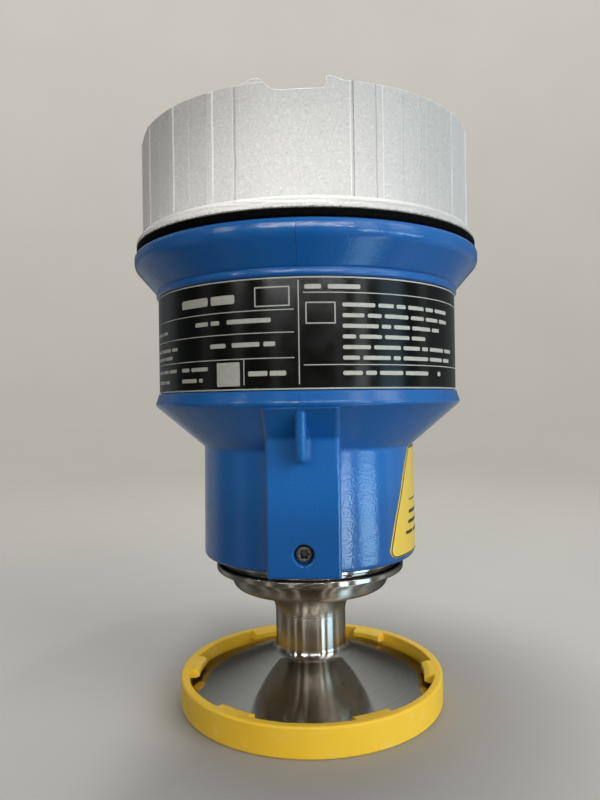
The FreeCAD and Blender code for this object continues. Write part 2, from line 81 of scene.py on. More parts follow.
# ------------------------------------------------------------------ node helpers
def lin(r, g, b):
    """Screen colour 0-255 as linear RGBA."""
    out = []
    for v in (r, g, b):
        v /= 255.0
        out.append(v / 12.92 if v <= 0.04045 else ((v + 0.055) / 1.055) ** 2.4)
    return (*out, 1.0)


class Net:
    """One material with a Principled shader and short calls for the nodes behind it."""

    def __init__(self, name, **values):
        self.mat = bpy.data.materials.new(name)
        self.mat.use_nodes = True
        self.tree = self.mat.node_tree
        self.tree.nodes.clear()
        self.out = self.add("ShaderNodeOutputMaterial")
        self.bsdf = self.add("ShaderNodeBsdfPrincipled")
        self.link(self.bsdf.outputs[0], self.out.inputs["Surface"])
        self.place = self.add("ShaderNodeTexCoord").outputs["Object"]
        for key, value in values.items():
            self.bsdf.inputs[key.replace("_", " ")].default_value = value

    def add(self, kind, **props):
        n = self.tree.nodes.new(kind)
        for k, v in props.items():
            setattr(n, k, v)
        return n

    def link(self, a, b):
        self.tree.links.new(a, b)

    def feed(self, socket, value):
        if hasattr(value, "links") or isinstance(value, bpy.types.NodeSocket):
            self.link(value, socket)
        else:
            socket.default_value = value

    def to(self, name, value):
        self.feed(self.bsdf.inputs[name], value)

    def noise(self, scale, detail=3.0, rough=0.55, vec=None, distort=0.0):
        n = self.add("ShaderNodeTexNoise")
        self.link(vec or self.place, n.inputs["Vector"])
        n.inputs["Scale"].default_value = scale
        n.inputs["Detail"].default_value = detail
        n.inputs["Roughness"].default_value = rough
        n.inputs["Distortion"].default_value = distort
        return n.outputs["Fac"]

    def cells(self, scale, feature="F1", vec=None, out="Distance", rand=1.0):
        n = self.add("ShaderNodeTexVoronoi", feature=feature)
        self.link(vec or self.place, n.inputs["Vector"])
        n.inputs["Scale"].default_value = scale
        n.inputs["Randomness"].default_value = rand
        return n.outputs[out]

    def span(self, value, a, b, c=0.0, d=1.0, smooth=True):
        n = self.add("ShaderNodeMapRange", interpolation_type="SMOOTHSTEP" if smooth else "LINEAR")
        n.clamp = True
        self.feed(n.inputs["Value"], value)
        for key, v in (("From Min", a), ("From Max", b), ("To Min", c), ("To Max", d)):
            n.inputs[key].default_value = v
        return n.outputs["Result"]

    def math(self, op, a, b=0.0, c=0.0):
        n = self.add("ShaderNodeMath", operation=op)
        for i, v in enumerate((a, b, c)):
            self.feed(n.inputs[i], v)
        return n.outputs[0]

    def mix(self, fac, a, b, kind="MIX"):
        n = self.add("ShaderNodeMix", data_type="RGBA", blend_type=kind)
        self.feed(n.inputs["Factor"], fac)
        self.feed(n.inputs[6], a)
        self.feed(n.inputs[7], b)
        return n.outputs[2]

    def parts(self, vec=None):
        n = self.add("ShaderNodeSeparateXYZ")
        self.link(vec or self.place, n.inputs[0])
        return n.outputs

    def join(self, x=0.0, y=0.0, z=0.0):
        n = self.add("ShaderNodeCombineXYZ")
        for i, v in enumerate((x, y, z)):
            self.feed(n.inputs[i], v)
        return n.outputs[0]

    def scaled(self, sx, sy, sz, vec=None):
        n = self.add("ShaderNodeVectorMath", operation="MULTIPLY")
        self.link(vec or self.place, n.inputs[0])
        n.inputs[1].default_value = (sx, sy, sz)
        return n.outputs[0]

    def turned(self):
        """(radius, 0, height): a pattern on it runs round the axis as a lathe leaves it."""
        p = self.parts()
        r = self.math("SQRT", self.math("ADD", self.math("MULTIPLY", p[0], p[0]), self.math("MULTIPLY", p[1], p[1])))
        return self.join(r, 0.0, p[2])

    def bump(self, height, strength, distance, normal=None):
        n = self.add("ShaderNodeBump")
        n.inputs["Strength"].default_value = strength
        n.inputs["Distance"].default_value = distance
        self.link(height, n.inputs["Height"])
        if normal is not None:
            self.link(normal, n.inputs["Normal"])
        return n.outputs["Normal"]

    def soft_edges(self, radius, samples=6):
        """Shading normal with every sharp edge rounded."""
        n = self.add("ShaderNodeBevel")
        n.samples = samples
        if isinstance(radius, float):
            n.inputs["Radius"].default_value = radius
        else:
            self.link(radius, n.inputs["Radius"])
        return n.outputs[0]

    def edges(self, radius, samples=6):
        """1 on sharp edges, fading out over a short distance on both sides."""
        dot = self.add("ShaderNodeVectorMath", operation="DOT_PRODUCT")
        self.link(self.soft_edges(radius, samples), dot.inputs[0])
        self.link(self.add("ShaderNodeNewGeometry").outputs["Normal"], dot.inputs[1])
        return self.span(dot.outputs["Value"], 0.99, 0.86)

    def open_air(self, distance, samples=6):
        """1 on open faces, towards 0 in grooves and corners."""
        n = self.add("ShaderNodeAmbientOcclusion", only_local=True)
        n.samples = samples
        n.inputs["Distance"].default_value = distance
        return n.outputs["AO"]

    def specks(self, scale, size, seed):
        """1 inside a few scattered dots."""
        shift = self.add("ShaderNodeVectorMath", operation="ADD")
        self.link(self.place, shift.inputs[0])
        shift.inputs[1].default_value = (seed * 0.37, seed * 0.71, seed * 0.13)
        n = self.add("ShaderNodeTexVoronoi")
        self.link(shift.outputs[0], n.inputs["Vector"])
        n.inputs["Scale"].default_value = scale
        n.inputs["Randomness"].default_value = 1.0
        return self.span(n.outputs["Distance"], size, size * 0.55)


MATERIALS = {}


def finish_of(name):
    return MATERIALS[name]


# ------------------------------------------------------------------ finishes
def make_blue():
    n = Net("blue_paint", Metallic=0.0, IOR=1.5, Specular_IOR_Level=0.25, Coat_Weight=0.8, Coat_IOR=1.5)
    cloud = n.noise(38.0, 3.0)
    colour = n.mix(cloud, lin(11, 85, 152), lin(17, 96, 165))
    # painted shade and light: the blue is darker towards the bottom (below 71 mm) and lighter in a band around 62 to
    # 72 mm, fading out by 48 and 80 mm
    painted_shade_low = n.span(n.parts()[2], 0.071, 0.040, 0.0, 1.0)
    painted_light_band = n.math("MULTIPLY", n.span(n.parts()[2], 0.048, 0.062), n.span(n.parts()[2], 0.080, 0.072))
    colour = n.mix(n.math("MULTIPLY", painted_shade_low, 0.45), colour, lin(8, 68, 128))
    colour = n.mix(n.math("MULTIPLY", painted_light_band, 0.6), colour, lin(19, 106, 182))
    grain = n.noise(2600.0, 2.0)
    colour = n.mix(n.span(grain, 0.35, 0.75, 0.0, 0.14), colour, lin(36, 115, 184))
    dust = n.math("MULTIPLY", n.specks(150.0, 0.05, 3.0), n.span(n.noise(60.0, 2.0), 0.5, 0.62))
    n.to("Base Color", n.mix(n.math("MULTIPLY", dust, 0.5), colour, lin(140, 160, 180)))
    n.to("Roughness", n.span(n.noise(420.0, 4.0), 0.3, 0.7, 0.34, 0.46))
    n.to("Coat Roughness", n.span(n.noise(240.0, 4.0), 0.3, 0.7, 0.035, 0.075))
    shoulder = n.math("MULTIPLY", n.span(n.parts()[2], 0.0615, 0.0645), n.span(n.parts()[2], 0.0735, 0.0705))
    rounding = n.math("ADD", n.math("MULTIPLY", shoulder, 0.0011), 0.0005)
    wide = n.bump(n.noise(420.0, 2.0, 0.5), 0.28, 0.00012, n.soft_edges(rounding, 8))
    peel = n.bump(n.noise(1900.0, 2.0, 0.5), 0.45, 0.00009, wide)
    n.to("Normal", peel)
    n.to("Coat Normal", peel)
    return n.mat


def make_silver():
    n = Net("silver_paint", IOR=1.5, Metallic=0.08, Diffuse_Roughness=1.0, Coat_Weight=0.1, Coat_Roughness=0.25, Coat_IOR=1.45)
    grain = n.noise(3400.0, 2.0, 0.6)
    flake = n.cells(3000.0, out="Color")
    sep = n.add("ShaderNodeSeparateColor")
    n.link(flake, sep.inputs[0])
    base = n.mix(n.noise(30.0, 3.0), lin(185, 183, 179), lin(190, 188, 184))
    base = n.mix(n.span(grain, 0.25, 0.75, 0.0, 0.5), base, lin(200, 198, 194))
    base = n.mix(n.span(sep.outputs[0], 0.75, 1.0, 0.0, 0.45), base, lin(216, 214, 210))
    base = n.mix(n.span(sep.outputs[1], 0.78, 1.0, 0.0, 0.40), base, lin(158, 156, 152))
    dirt = n.math("MULTIPLY", n.specks(110.0, 0.035, 9.0), n.span(n.noise(45.0, 2.0), 0.52, 0.6))
    air = n.open_air(0.0009)
    # lighter sharp edges on open faces: partly worn paint, partly a painted highlight on the land edges
    worn_edge_highlight = n.math("MULTIPLY", n.edges(0.00035), n.span(air, 0.6, 0.85, 0.0, 0.9))
    base = n.mix(worn_edge_highlight, base, lin(240, 239, 236))
    # painted shade: darker in grooves and corners, where the ambient occlusion finds little open air
    base = n.mix(n.span(air, 0.6, 0.2, 0.0, 0.4), base, lin(120, 118, 112))
    foot = n.span(n.math("ADD", n.parts()[2], n.span(n.noise(1600.0, 3.0), 0.3, 0.7, -0.00025, 0.00025)), 0.1188, 0.1185)
    chips = n.span(n.noise(3200.0, 3.0, 0.6), 0.38, 0.6, 0.0, 0.85)
    base = n.mix(n.math("MULTIPLY", foot, chips), base, lin(58, 56, 52))
    n.to("Base Color", n.mix(n.math("MULTIPLY", dirt, 0.8), base, lin(70, 66, 58)))
    n.to("Roughness", n.span(sep.outputs[2], 0.0, 1.0, 0.4, 0.55, smooth=False))
    coarse = n.bump(n.noise(1500.0, 3.0, 0.5), 0.13, 0.00006, n.soft_edges(0.0003))
    n.to("Normal", n.bump(grain, 0.25, 0.00005, coarse))
    return n.mat


def make_plate():
    n = Net("plate_black", Metallic=0.0, IOR=1.5)
    colour = n.mix(n.noise(70.0, 4.0), lin(2, 2, 2), lin(5, 5, 4))
    n.to("Base Color", n.mix(n.span(n.noise(1900.0, 2.0), 0.45, 0.75, 0.0, 0.3), colour, lin(12, 12, 11)))
    n.to("Roughness", n.span(n.noise(260.0, 4.0), 0.3, 0.7, 0.14, 0.2))
    n.to("Normal", n.bump(n.noise(1700.0, 3.0, 0.55), 0.14, 0.00004))
    return n.mat


def make_print():
    n = Net("plate_print", IOR=1.5)
    n.to("Base Color", n.mix(n.noise(900.0, 3.0), lin(158, 158, 147), lin(186, 185, 173)))
    n.to("Roughness", n.span(n.noise(500.0, 3.0), 0.3, 0.7, 0.38, 0.5))
    n.to("Normal", n.bump(n.noise(2400.0, 2.0), 0.1, 0.00003))
    return n.mat


def make_label():
    n = Net("label_yellow", IOR=1.5, Coat_Weight=0.2, Coat_Roughness=0.25)
    colour = n.mix(n.noise(60.0, 4.0), lin(222, 186, 62), lin(232, 200, 84))
    n.to("Base Color", n.mix(n.span(n.noise(1600.0, 2.0), 0.5, 0.8, 0.0, 0.25), colour, lin(246, 216, 112)))
    n.to("Roughness", n.span(n.noise(300.0, 3.0), 0.3, 0.7, 0.32, 0.44))
    n.to("Normal", n.bump(n.noise(600.0, 3.0), 0.12, 0.00006))
    return n.mat


def make_label_print():
    n = Net("label_print", IOR=1.5)
    n.to("Base Color", n.mix(n.noise(900.0, 3.0), lin(58, 48, 22), lin(74, 62, 30)))
    n.to("Roughness", n.span(n.noise(500.0, 3.0), 0.3, 0.7, 0.42, 0.55))
    return n.mat


def make_rubber():
    n = Net("black_rubber", IOR=1.5, Specular_IOR_Level=0.04)
    colour = n.mix(n.noise(120.0, 4.0), lin(2, 2, 2), lin(6, 6, 6))
    n.to("Base Color", n.mix(n.span(n.noise(2200.0, 2.0), 0.5, 0.8, 0.0, 0.3), colour, lin(20, 20, 20)))
    n.to("Roughness", n.span(n.noise(700.0, 3.0), 0.3, 0.7, 0.55, 0.72))
    n.to("Normal", n.bump(n.noise(1800.0, 3.0), 0.3, 0.00008))
    return n.mat


def make_steel():
    n = Net("stainless", Metallic=1.0, Anisotropic=0.97, Anisotropic_Rotation=0.25, Specular_Tint=lin(150, 146, 140))
    lathe = n.turned()
    tone = n.mix(n.noise(45.0, 4.0), lin(188, 182, 172), lin(204, 199, 190))
    lines = n.noise(2600.0, 5.0, 0.65, vec=lathe)
    tone = n.mix(n.span(lines, 0.35, 0.7, 0.0, 0.3), tone, lin(170, 162, 150))
    dirt = n.math("MULTIPLY", n.specks(120.0, 0.05, 5.0), n.span(n.noise(50.0, 2.0), 0.5, 0.62))
    # painted shade: darker in hollows and beside neighbouring shapes, within 9 mm
    tone = n.mix(n.span(n.open_air(0.009), 0.85, 0.3, 0.0, 0.8), tone, lin(88, 82, 74))
    n.to("Base Color", n.mix(n.math("MULTIPLY", dirt, 0.8), tone, lin(60, 54, 46)))
    neck = n.span(n.parts()[2], 0.0118, 0.0138)
    throat = n.math("MULTIPLY", n.span(n.parts()[2], 0.0160, 0.0262), n.span(n.parts()[2], 0.0325, 0.0300))
    n.to("Roughness", n.math("ADD", n.span(n.noise(240.0, 5.0, 0.6, vec=lathe), 0.3, 0.7, 0.105, 0.15), n.math("ADD", n.math("MULTIPLY", neck, 0.045), n.math("MULTIPLY", throat, 0.13))))
    n.to("Normal", n.bump(lines, 0.12, 0.00003))
    tangent = n.add("ShaderNodeTangent", direction_type="RADIAL", axis="Z")
    n.to("Tangent", tangent.outputs[0])
    return n.mat


def make_metal(name, a, b, rough, scale=900.0, strength=0.15, metal=1.0):
    n = Net(name, Metallic=metal)
    n.to("Base Color", n.mix(n.noise(140.0, 4.0), a, b))
    n.to("Roughness", n.span(n.noise(scale * 0.6, 4.0), 0.3, 0.7, rough - 0.05, rough + 0.09))
    n.to("Normal", n.bump(n.noise(scale, 4.0, 0.6), strength, 0.00004))
    return n.mat


def make_screw():
    n = Net("screw_steel", Metallic=0.75, IOR=1.5)
    tone = n.mix(n.noise(300.0, 4.0), lin(84, 81, 75), lin(116, 112, 105))
    tone = n.mix(n.span(n.noise(1500.0, 3.0), 0.4, 0.75, 0.0, 0.5), tone, lin(186, 181, 170))
    # painted shade: nearly black down in the socket and other hollows
    n.to("Base Color", n.mix(n.span(n.open_air(0.0012), 0.8, 0.35, 0.0, 0.97), tone, lin(10, 9, 8)))
    n.to("Roughness", n.span(n.noise(800.0, 4.0), 0.3, 0.7, 0.3, 0.46))
    n.to("Normal", n.bump(n.noise(1400.0, 4.0, 0.6), 0.25, 0.00004, n.soft_edges(0.00015)))
    return n.mat


def make_cap():
    n = Net("cap_yellow", IOR=1.48, Subsurface_Weight=0.12, Subsurface_Scale=0.0015)
    n.bsdf.inputs["Subsurface Radius"].default_value = (1.0, 0.6, 0.12)
    colour = n.mix(n.noise(55.0, 4.0), lin(232, 185, 40), lin(240, 196, 56))
    scuff = n.math("MULTIPLY", n.span(n.noise(130.0, 5.0, 0.65), 0.52, 0.72), 0.35)
    colour = n.mix(scuff, colour, lin(246, 220, 140))
    fine = n.noise(1500.0, 4.0, 0.6, vec=n.scaled(1.0, 1.0, 0.35))
    colour = n.mix(n.span(fine, 0.5, 0.8, 0.0, 0.18), colour, lin(216, 166, 26))
    dirt = n.math("MULTIPLY", n.specks(140.0, 0.035, 2.0), n.span(n.noise(70.0, 2.0), 0.52, 0.6))
    n.to("Base Color", n.mix(n.math("MULTIPLY", dirt, 0.7), colour, lin(120, 84, 10)))
    n.to("Roughness", n.span(n.noise(210.0, 4.0), 0.3, 0.7, 0.42, 0.58))
    n.to("Normal", n.bump(n.noise(1300.0, 3.0), 0.16, 0.00006, n.soft_edges(0.0003, 4)))
    return n.mat


def make_plastic(name, a, b, rough=0.45, grain=1500.0, strength=0.22, **more):
    n = Net(name, IOR=1.48, **more)
    colour = n.mix(n.noise(160.0, 4.0), a, b)
    n.to("Base Color", n.mix(n.span(n.noise(grain, 2.0), 0.5, 0.8, 0.0, 0.2), colour,
                             tuple(min(1.0, v * 1.5 + 0.01) for v in b[:3]) + (1.0,)))
    n.to("Roughness", n.span(n.noise(420.0, 4.0), 0.3, 0.7, rough - 0.06, rough + 0.1))
    n.to("Normal", n.bump(n.noise(grain, 3.0), strength, 0.00006))
    return n.mat


def make_board():
    n = Net("pcb_green", IOR=1.5, Coat_Weight=0.4, Coat_Roughness=0.2)
    colour = n.mix(n.noise(220.0, 3.0), lin(16, 72, 40), lin(24, 90, 52))
    weave = n.math("MULTIPLY", n.math("SINE", n.math("MULTIPLY", n.parts()[0], 9000.0)),
                   n.math("SINE", n.math("MULTIPLY", n.parts()[1], 9000.0)))
    colour = n.mix(n.span(weave, -1.0, 1.0, 0.0, 0.25), colour, lin(40, 110, 66))
    n.to("Base Color", colour)
    n.to("Roughness", n.span(n.noise(300.0, 3.0), 0.3, 0.7, 0.35, 0.5))
    n.to("Normal", n.bump(weave, 0.1, 0.00003))
    return n.mat


MATERIALS.update(
    blue_paint=make_blue(), silver_paint=make_silver(), plate_black=make_plate(), plate_print=make_print(),
    label_yellow=make_label(), label_print=make_label_print(), black_rubber=make_rubber(), stainless=make_steel(),
    cap_yellow=make_cap(), pcb_green=make_board(),
    foil=make_metal("foil", lin(186, 184, 180), lin(204, 202, 198), 0.22),
    screw_steel=make_screw(),
    nickel_brass=make_metal("nickel_brass", lin(188, 180, 164), lin(206, 198, 182), 0.24),
    gold=make_metal("gold", lin(206, 160, 74), lin(222, 178, 92), 0.22),
    black_plastic=make_plastic("black_plastic", lin(22, 22, 22), lin(32, 32, 32)),
    dark_plastic=make_plastic("dark_plastic", lin(46, 48, 52), lin(60, 62, 66), 0.5),
    grey_plastic=make_plastic("grey_plastic", lin(132, 134, 134), lin(150, 152, 152)),
    key_grey=make_plastic("key_grey", lin(96, 100, 104), lin(114, 118, 122), 0.4),
    switch_red=make_plastic("switch_red", lin(150, 28, 24), lin(170, 38, 32), 0.4),
    slider_white=make_plastic("slider_white", lin(214, 214, 208), lin(228, 228, 222), 0.38),
    led_green=make_plastic("led_green", lin(70, 150, 80), lin(96, 176, 104), 0.2, 900.0, 0.05, Coat_Weight=0.6),
    cable_grey=make_plastic("cable_grey", lin(104, 104, 104), lin(124, 124, 124), 0.5),
)

SLOT_OF = {}
for row in frame["record"]["materials"]:
    for name in row.get("nodes", []):
        SLOT_OF[name] = row["slot"]
for name, obj in NODES.items():
    current = obj.data.materials[0].name.split(".")[0] if obj.data.materials else ""
    want = SLOT_OF.get(name, current)
    obj.data.materials.clear()
    obj.data.materials.append(MATERIALS[want if want in MATERIALS else "grey_plastic"])


# ------------------------------------------------------------------ mesh helpers
def piece(name, verts, faces, body, finish, smooth=False):
    me = bpy.data.meshes.new(name)
    me.from_pydata([tuple(c * MM for c in v) for v in verts], [], faces)
    me.validate()
    me.update()
    if smooth:
        me.polygons.foreach_set("use_smooth", [True] * len(me.polygons))
    me.materials.append(MATERIALS[finish])
    o = bpy.data.objects.new(name, me)
    scene.collection.objects.link(o)
    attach(o, body)
    return o


class Sheet:
    """Thin closed bars laid on a surface given as place(s, z, height) in millimetres."""

    def __init__(self, place, top=0.03, under=0.012):
        self.place, self.top, self.under = place, top, under
        self.v, self.f = [], []

    def strip(self, columns):
        """columns: (s, z_low, z_high) along the bar; makes one closed thin solid."""
        base = len(self.v)
        for s, lo, hi in columns:
            for z, h in ((lo, self.top), (hi, self.top), (hi, -self.under), (lo, -self.under)):
                self.v.append(self.place(s, z, h))
        k = len(columns)
        for i in range(k - 1):
            a, b = base + 4 * i, base + 4 * (i + 1)
            for j in range(4):
                self.f.append((a + j, b + j, b + (j + 1) % 4, a + (j + 1) % 4))
        self.f.append((base + 3, base + 2, base + 1, base))
        e = base + 4 * (k - 1)
        self.f.append((e, e + 1, e + 2, e + 3))

    def bar(self, s0, s1, z0, z1, step=0.8, soft=0.3):
        """Bar with rounded ends."""
        half, mid = (z1 - z0) / 2, (z0 + z1) / 2
        r = min(half * 0.7, (s1 - s0) * 0.3, soft)
        cols = []
        for t in (0.0, 0.3, 0.7, 1.0):
            cut = r * (1 - math.sqrt(max(0.0, 1 - (1 - t) ** 2)))
            cols.append((s0 + r * t, mid - half + cut, mid + half - cut))
        inner = max(1, int((s1 - s0 - 2 * r) / step))
        for i in range(1, inner):
            cols.append((s0 + r + (s1 - s0 - 2 * r) * i / inner, z0, z1))
        for t in (1.0, 0.7, 0.3, 0.0):
            cut = r * (1 - math.sqrt(max(0.0, 1 - (1 - t) ** 2)))
            cols.append((s1 - r * t, mid - half + cut, mid + half - cut))
        self.strip(cols)

    def line(self, s0, s1, z, width=0.2, step=1.0):
        k = max(1, int(abs(s1 - s0) / step))
        self.strip([(s0 + (s1 - s0) * i / k, z - width / 2, z + width / 2) for i in range(k + 1)])

    def upright(self, s, z0, z1, width=0.2):
        self.strip([(s - width / 2, z0, z1), (s + width / 2, z0, z1)])

    def words(self, s0, z, lengths, height=1.15, gap=0.75):
        height *= 0.78
        for w in lengths:
            self.bar(s0, s0 + w, z - height / 2, z + height / 2)
            s0 += w + gap
        return s0


# ------------------------------------------------------------------ nameplate print: plain bars and rules
PLATE_R = 39.1


def on_plate(s, z, h):
    a = s / PLATE_R
    r = PLATE_R + h
    return (r * math.sin(a), -r * math.cos(a), z)


pr = Sheet(on_plate)
# light rules along the top and the bottom of the plate: a painted highlight on the plate's edges
for z in (81.33, 105.02):
    pr.line(-74.5, 74.5, z, 0.3)
pr.upright(0.0, 82.3, 104.4, 0.22)
# right block
pr.words(1.3, 103.0, (3.6, 7.2), 1.25, 1.4)
pr.line(1.0, 52.0, 101.75)
rows = ((7.6, 4.0, 2.6, 5.2, 3.0, 6.0), (5.0, 3.4, 6.6, 4.4, 5.0, 4.2), (8.4, 2.4, 4.6, 6.4, 3.2),
        (3.0, 5.4, 6.8, 4.6), (6.4, 7.0, 5.2, 2.2, 6.4, 4.4), (3.8, 6.8, 2.0, 8.2, 5.6, 3.6))
for k, row in enumerate(rows):
    pr.words(9.4, 99.15 - 2.27 * k, row, 1.1)
pr.line(1.0, 52.0, 86.35)
pr.words(9.4, 84.55, (4.4, 2.6, 6.2, 7.6), 1.15)
pr.words(36.5, 84.55, (1.4,), 1.3)
for s0, s1, z in ((1.5, 7.9, 95.2), (1.5, 7.9, 99.6)):
    pr.line(s0, s1, z, 0.25)
pr.upright(1.6, 95.2, 99.6, 0.25)
pr.upright(7.8, 95.2, 99.6, 0.25)
# left block
pr.bar(-30.5, -21.6, 100.05, 102.0, 0.8, 0.4)
pr.bar(-20.7, -14.4, 100.05, 102.0, 0.8, 0.4)
pr.line(-9.6, -1.9, 99.1, 0.28)
pr.line(-9.6, -1.9, 103.1, 0.28)
pr.upright(-9.5, 99.1, 103.1, 0.28)
pr.upright(-2.0, 99.1, 103.1, 0.28)
pr.line(-52.0, -1.0, 98.25)
pr.words(-25.6, 96.1, (4.0, 2.4), 1.2, 0.8)
pr.words(-16.4, 96.1, (10.4,), 1.25)
pr.line(-52.0, -1.0, 93.4)
pr.words(-21.0, 91.0, (4.2,), 1.25)
pr.words(-15.2, 91.0, (6.6, 2.6), 1.25, 0.9)
pr.words(-47.5, 95.4, (5.4, 3.0), 1.0)
pr.words(-47.5, 91.2, (4.0, 6.2, 2.8), 1.0)
pr.words(-47.5, 89.3, (3.0, 2.6, 4.8), 1.0)
pr.line(-52.0, -1.0, 87.95)
pr.words(-47.0, 86.1, (4.6, 3.4, 4.0), 1.0)
pr.words(-31.0, 86.1, (3.0, 5.4), 1.1)
pr.words(-31.0, 83.6, (5.6, 1.2), 1.1)
pr.words(-47.0, 83.6, (6.2, 2.4), 1.0)
pr.bar(-19.2, -13.3, 82.1, 87.3, 0.8, 0.25)
pr.upright(-12.3, 82.3, 87.95)
pr.words(-11.3, 84.7, (4.4, 3.6), 1.35, 0.5)
# both far sides, out of the front view
for side in (1, -1):
    base = 55.0 if side > 0 else -71.5
    for k, row in enumerate(((6.0, 4.2), (3.4, 7.0), (5.2, 2.6, 3.4), (7.4, 3.0), (4.0, 4.6))):
        pr.words(base, 99.0 - 3.2 * k, row, 1.1)
    pr.line(base, base + 16.5, 101.75)
    pr.line(base, base + 16.5, 84.0)
piece("nameplate_print", pr.v, pr.f, "housing", "plate_print")

# ------------------------------------------------------------------ side label: outline and plain bars
LOW_R, LOW_R_TOP, HOUSE_Z, CONE_Z = 28.0, 27.7, 38.8, 67.2


def low_r(z):
    return LOW_R + (LOW_R_TOP - LOW_R) * (z - HOUSE_Z) / (CONE_Z - HOUSE_Z)


def on_label(s, z, h):
    """s is across the label as seen square on; it faces +X and s grows towards the back."""
    r = low_r(z) + 0.2 + h
    y = s * r / (low_r(z) + 0.2)
    return (math.sqrt(max(r * r - y * y, 0.0)), y, z)


def rounded_outline(points, radius, steps=6):
    out = []
    k = len(points)
    for i in range(k):
        p = Vector(points[i])
        a = (Vector(points[i - 1]) - p).normalized()
        b = (Vector(points[(i + 1) % k]) - p).normalized()
        ang = math.acos(max(-1.0, min(1.0, a.dot(b))))
        t = radius / math.tan(ang / 2)
        bis = (a + b).normalized()
        c = p + bis * (radius / math.sin(ang / 2))
        s, e = p + a * t - c, p + b * t - c
        turn = s.angle_signed(e)
        for j in range(steps + 1):
            q = s.copy()
            q.rotate(Matrix.Rotation(-turn * j / steps, 2))
            out.append(c + q)
    return out


LABEL_CORNERS = [(-20.0, 40.3), (20.0, 40.3), (17.75, 49.5), (13.8, 61.2), (11.1, 66.9),
                 (-11.1, 66.9), (-13.8, 61.2), (-17.75, 49.5)]
LABEL_SOFT = [2.0, 2.0, 0.0, 0.0, 1.0, 1.0, 0.0, 0.0]


def label_outline(step=0.8):
    """Edge of the label, as points about a step apart."""
    pts = []
    k = len(LABEL_CORNERS)
    for i, (corner, radius) in enumerate(zip(LABEL_CORNERS, LABEL_SOFT)):
        if radius == 0:
            pts.append(Vector(corner))
            continue
        trio = [LABEL_CORNERS[i - 1], corner, LABEL_CORNERS[(i + 1) % k]]
        pts += rounded_outline(trio, radius)[7:14]
    out = []
    for i, p in enumerate(pts):
        q = pts[(i + 1) % len(pts)]
        n = max(1, int((q - p).length / step))
        out += [p + (q - p) * j / n for j in range(n)]
    return out


def label_ring(inset, width, sheet):
    """Closed outline band that keeps a distance from the label's edge."""
    edge = label_outline()
    k = len(edge)
    base = len(sheet.v)
    for i, p in enumerate(edge):
        t = (edge[(i + 1) % k] - edge[i - 1]).normalized()
        inward = Vector((-t.y, t.x))
        a, b = p + inward * inset, p + inward * (inset + width)
        for point, h in ((a, sheet.top), (b, sheet.top), (b, -sheet.under), (a, -sheet.under)):
            sheet.v.append(sheet.place(point.x, point.y, h))
    for i in range(k):
        a, b = base + 4 * i, base + 4 * ((i + 1) % k)
        for j in range(4):
            sheet.f.append((a + j, b + j, b + (j + 1) % 4, a + (j + 1) % 4))


lb = Sheet(on_label, 0.03, 0.01)
label_ring(0.06, 0.3, lb)
for k, row in enumerate(((5.2, 6.6, 4.0, 5.0), (6.8, 3.6, 7.4, 4.0), (4.4, 7.2, 3.0, 6.6, 2.6))):
    width = sum(row) + 0.9 * (len(row) - 1)
    lb.words(-width / 2, 50.6 - 2.5 * k, row, 1.1, 0.9)
lb.line(-11.5, 11.5, 53.6, 0.3)
piece("side_label_print", lb.v, lb.f, "housing", "label_print")


# ------------------------------------------------------------------ mould parting line of the housing
def ribbon(profile, half, height, verts, faces, az=0.0):
    """Low triangular ridge along (r, z) profile points at one azimuth."""
    base = len(verts)
    ca, sa = math.cos(az), math.sin(az)
    k = len(profile)
    for i, (r, z) in enumerate(profile):
        r0, z0 = profile[max(0, i - 1)]
        r1, z1 = profile[min(k - 1, i + 1)]
        t = Vector((r1 - r0, z1 - z0)).normalized()
        nr, nz = t.y, -t.x
        if nr < 0:
            nr, nz = -nr, -nz
        rise = height if 0 < i < k - 1 else 0.0
        for off, h in ((-half, -0.05), (0.0, rise), (half, -0.05)):
            rr, zz = r + nr * h, z + nz * h
            verts.append((rr * sa + off * ca, -rr * ca + off * sa, zz))
    for i in range(k - 1):
        a, b = base + 3 * i, base + 3 * (i + 1)
        faces += [(a, b, b + 1, a + 1), (a + 1, b + 1, b + 2, a + 2), (a + 2, b + 2, b, a)]
    faces += [(base, base + 1, base + 2), (base + 3 * k - 1, base + 3 * k - 2, base + 3 * k - 3)]


def arc(cx, cz, r, a0, a1, n=6):
    return [(cx + r * math.cos(math.radians(a0 + (a1 - a0) * i / n)),
             cz + r * math.sin(math.radians(a0 + (a1 - a0) * i / n))) for i in range(n + 1)]


pv, pf = [], []
ribbon([(40.6, 108.2), (42.0, 109.79), (43.2, 111.16)] + arc(42.2, 114.255, 2.8, -41.3, 0.0) + [(45.0, 114.8), (45.0, 115.0)],
       0.17, 0.085, pv, pf)
ribbon([(38.7, 76.66), (39.2, 77.1)] + arc(38.98, 78.355, 1.1, -49.3, 17.85) + [(39.8, 79.42), (39.5, 80.35)],
       0.15, 0.08, pv, pf)
ribbon([(31.47, 39.6), (31.5, 40.0), (31.5, 40.7), (31.5, 41.2)], 0.12, 0.04, pv, pf)
piece("parting_line", pv, pf, "housing", "blue_paint")


